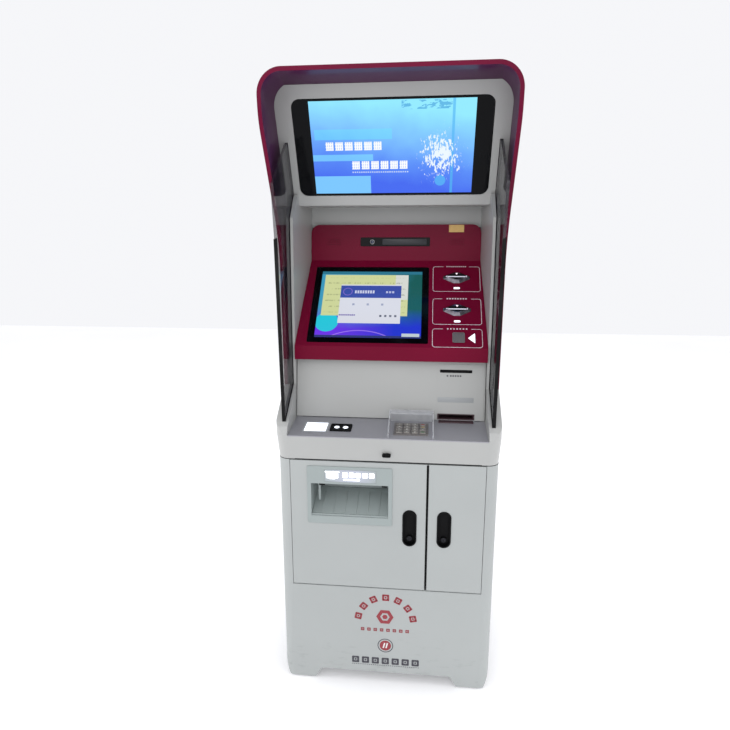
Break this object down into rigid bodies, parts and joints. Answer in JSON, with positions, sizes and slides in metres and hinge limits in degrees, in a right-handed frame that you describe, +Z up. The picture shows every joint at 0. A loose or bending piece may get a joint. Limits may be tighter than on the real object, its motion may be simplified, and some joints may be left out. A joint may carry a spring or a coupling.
{
  "type": "self-service banking terminal",
  "caption": "Free-standing banking terminal: white steel cabinet with doors, sloped console with keypad and card slots, maroon hood with an upper display and smoked side glass.",
  "frame": {"origin": "on the floor, under the middle of the bounding box", "axes": "+Z up, the user's side faces -Y, +X to the user's right"},
  "size_m": [0.68, 0.64, 1.8693],
  "materials": {
    "white_steel": "fine-textured powder coat",
    "white_moulding": "satin lacquer",
    "grey_panel": "satin metallic grey",
    "maroon_paint": "satin dark red lacquer",
    "smoked_glass": "polished smoked glass",
    "screen_glass": "black glass with a lit picture",
    "black_plastic": "moulded, fine grain",
    "bright_bezel": "bright plated",
    "frosted_plastic": "translucent, satin",
    "keypad_metal": "blasted steel, engraved legends",
    "bare_steel": "zinc plated",
    "seal_rubber": "extruded, matte",
    "outlet_grey": "satin moulding",
    "lit_sign": "lit diffuser",
    "machine_grey": "office machine casing",
    "computer_black": "fine-textured powder coat",
    "roll_paper": "thermal paper"
  },
  "bodies": {
    "base": {"cabinet_shell": "white_steel", "deck_moulding": "white_moulding", "display_surround": "white_moulding", "console_panel": "white_moulding", "deck_shelf": "grey_panel", "facia": "maroon_paint", "hood_shell": "maroon_paint", "side_glass_left": "smoked_glass", "side_glass_right": "smoked_glass", "touch_screen": "screen_glass", "display_panel": "screen_glass", "camera_bar": "screen_glass", "receipt_mouth": "black_plastic", "apron_sensor": "black_plastic", "chip_reader": "black_plastic", "speakers": "black_plastic", "code_reader": "black_plastic", "power_inlet": "black_plastic", "card_slots": "bright_bezel", "pin_shroud": "frosted_plastic", "scanner_window": "frosted_plastic", "keypad_body": "keypad_metal", "floor_pan": "bare_steel", "inner_frame": "bare_steel", "hinge_pins": "bare_steel", "glass_seals": "seal_rubber", "levelling_feet": "seal_rubber", "indicator_lamps": "lit_sign", "report_printer": "machine_grey", "receipt_printer": "machine_grey", "computer": "computer_black", "card_readers": "computer_black"},
    "left_door": {"left_door": "white_steel", "left_handle": "black_plastic", "outlet_bezel": "outlet_grey", "outlet_tray": "outlet_grey", "outlet_sign": "lit_sign"},
    "right_door": {"right_door": "white_steel", "right_handle": "black_plastic"},
    "rear_door": {"rear_door": "white_steel"},
    "left_lock": {"left_lock": "bare_steel"},
    "right_lock": {"right_lock": "bare_steel"},
    "rear_lock": {"rear_lock": "bare_steel"},
    "receipt_roll": {"receipt_roll": "roll_paper"},
    "key_01": {"key_01": "keypad_metal"},
    "key_02": {"key_02": "keypad_metal"},
    "key_03": {"key_03": "keypad_metal"},
    "key_04": {"key_04": "keypad_metal"},
    "key_05": {"key_05": "keypad_metal"},
    "key_06": {"key_06": "keypad_metal"},
    "key_07": {"key_07": "keypad_metal"},
    "key_08": {"key_08": "keypad_metal"},
    "key_09": {"key_09": "keypad_metal"},
    "key_10": {"key_10": "keypad_metal"},
    "key_11": {"key_11": "keypad_metal"},
    "key_12": {"key_12": "keypad_metal"},
    "key_13": {"key_13": "keypad_metal"},
    "key_14": {"key_14": "keypad_metal"},
    "key_15": {"key_15": "keypad_metal"},
    "key_16": {"key_16": "keypad_metal"}
  },
  "joints": [
    {"name": "left_door_swing", "type": "hinge", "parent": "base", "child": "left_door", "pos_m": [-0.2895, -0.246, 0.563], "axis": [0, 0, -1], "range_deg": [0, 115]},
    {"name": "right_door_swing", "type": "hinge", "parent": "base", "child": "right_door", "pos_m": [0.2895, -0.246, 0.563], "axis": [0, 0, 1], "range_deg": [0, 115]},
    {"name": "rear_door_swing", "type": "hinge", "parent": "base", "child": "rear_door", "pos_m": [0.2445, 0.316, 0.445], "axis": [0, 0, -1], "range_deg": [0, 110]},
    {"name": "left_lock_turn", "type": "hinge", "parent": "left_door", "child": "left_lock", "pos_m": [0.072, -0.235, 0.525], "axis": [0, 1, 0], "range_deg": [0, 90]},
    {"name": "right_lock_turn", "type": "hinge", "parent": "right_door", "child": "right_lock", "pos_m": [0.178, -0.235, 0.525], "axis": [0, -1, 0], "range_deg": [0, 90]},
    {"name": "rear_lock_turn", "type": "hinge", "parent": "rear_door", "child": "rear_lock", "pos_m": [-0.221, 0.31, 0.445], "axis": [0, -1, 0], "range_deg": [0, 90]},
    {"name": "receipt_roll_spin", "type": "hinge", "parent": "base", "child": "receipt_roll", "pos_m": [0.209, -0.01621, 1.02012], "axis": [1, 0, 0], "continuous": true},
    {"name": "key_01_press", "type": "slide", "parent": "base", "child": "key_01", "axis": [0, 0.1323, -0.9912], "range_m": [0, 0.0015], "stiffness_N_per_m": 400, "springref_m": -0.001},
    {"name": "key_02_press", "type": "slide", "parent": "base", "child": "key_02", "axis": [0, 0.1323, -0.9912], "range_m": [0, 0.0015], "stiffness_N_per_m": 400, "springref_m": -0.001},
    {"name": "key_03_press", "type": "slide", "parent": "base", "child": "key_03", "axis": [0, 0.1323, -0.9912], "range_m": [0, 0.0015], "stiffness_N_per_m": 400, "springref_m": -0.001},
    {"name": "key_04_press", "type": "slide", "parent": "base", "child": "key_04", "axis": [0, 0.1323, -0.9912], "range_m": [0, 0.0015], "stiffness_N_per_m": 400, "springref_m": -0.001},
    {"name": "key_05_press", "type": "slide", "parent": "base", "child": "key_05", "axis": [0, 0.1323, -0.9912], "range_m": [0, 0.0015], "stiffness_N_per_m": 400, "springref_m": -0.001},
    {"name": "key_06_press", "type": "slide", "parent": "base", "child": "key_06", "axis": [0, 0.1323, -0.9912], "range_m": [0, 0.0015], "stiffness_N_per_m": 400, "springref_m": -0.001},
    {"name": "key_07_press", "type": "slide", "parent": "base", "child": "key_07", "axis": [0, 0.1323, -0.9912], "range_m": [0, 0.0015], "stiffness_N_per_m": 400, "springref_m": -0.001},
    {"name": "key_08_press", "type": "slide", "parent": "base", "child": "key_08", "axis": [0, 0.1323, -0.9912], "range_m": [0, 0.0015], "stiffness_N_per_m": 400, "springref_m": -0.001},
    {"name": "key_09_press", "type": "slide", "parent": "base", "child": "key_09", "axis": [0, 0.1323, -0.9912], "range_m": [0, 0.0015], "stiffness_N_per_m": 400, "springref_m": -0.001},
    {"name": "key_10_press", "type": "slide", "parent": "base", "child": "key_10", "axis": [0, 0.1323, -0.9912], "range_m": [0, 0.0015], "stiffness_N_per_m": 400, "springref_m": -0.001},
    {"name": "key_11_press", "type": "slide", "parent": "base", "child": "key_11", "axis": [0, 0.1323, -0.9912], "range_m": [0, 0.0015], "stiffness_N_per_m": 400, "springref_m": -0.001},
    {"name": "key_12_press", "type": "slide", "parent": "base", "child": "key_12", "axis": [0, 0.1323, -0.9912], "range_m": [0, 0.0015], "stiffness_N_per_m": 400, "springref_m": -0.001},
    {"name": "key_13_press", "type": "slide", "parent": "base", "child": "key_13", "axis": [0, 0.1323, -0.9912], "range_m": [0, 0.0015], "stiffness_N_per_m": 400, "springref_m": -0.001},
    {"name": "key_14_press", "type": "slide", "parent": "base", "child": "key_14", "axis": [0, 0.1323, -0.9912], "range_m": [0, 0.0015], "stiffness_N_per_m": 400, "springref_m": -0.001},
    {"name": "key_15_press", "type": "slide", "parent": "base", "child": "key_15", "axis": [0, 0.1323, -0.9912], "range_m": [0, 0.0015], "stiffness_N_per_m": 400, "springref_m": -0.001},
    {"name": "key_16_press", "type": "slide", "parent": "base", "child": "key_16", "axis": [0, 0.1323, -0.9912], "range_m": [0, 0.0015], "stiffness_N_per_m": 400, "springref_m": -0.001}
  ]
}
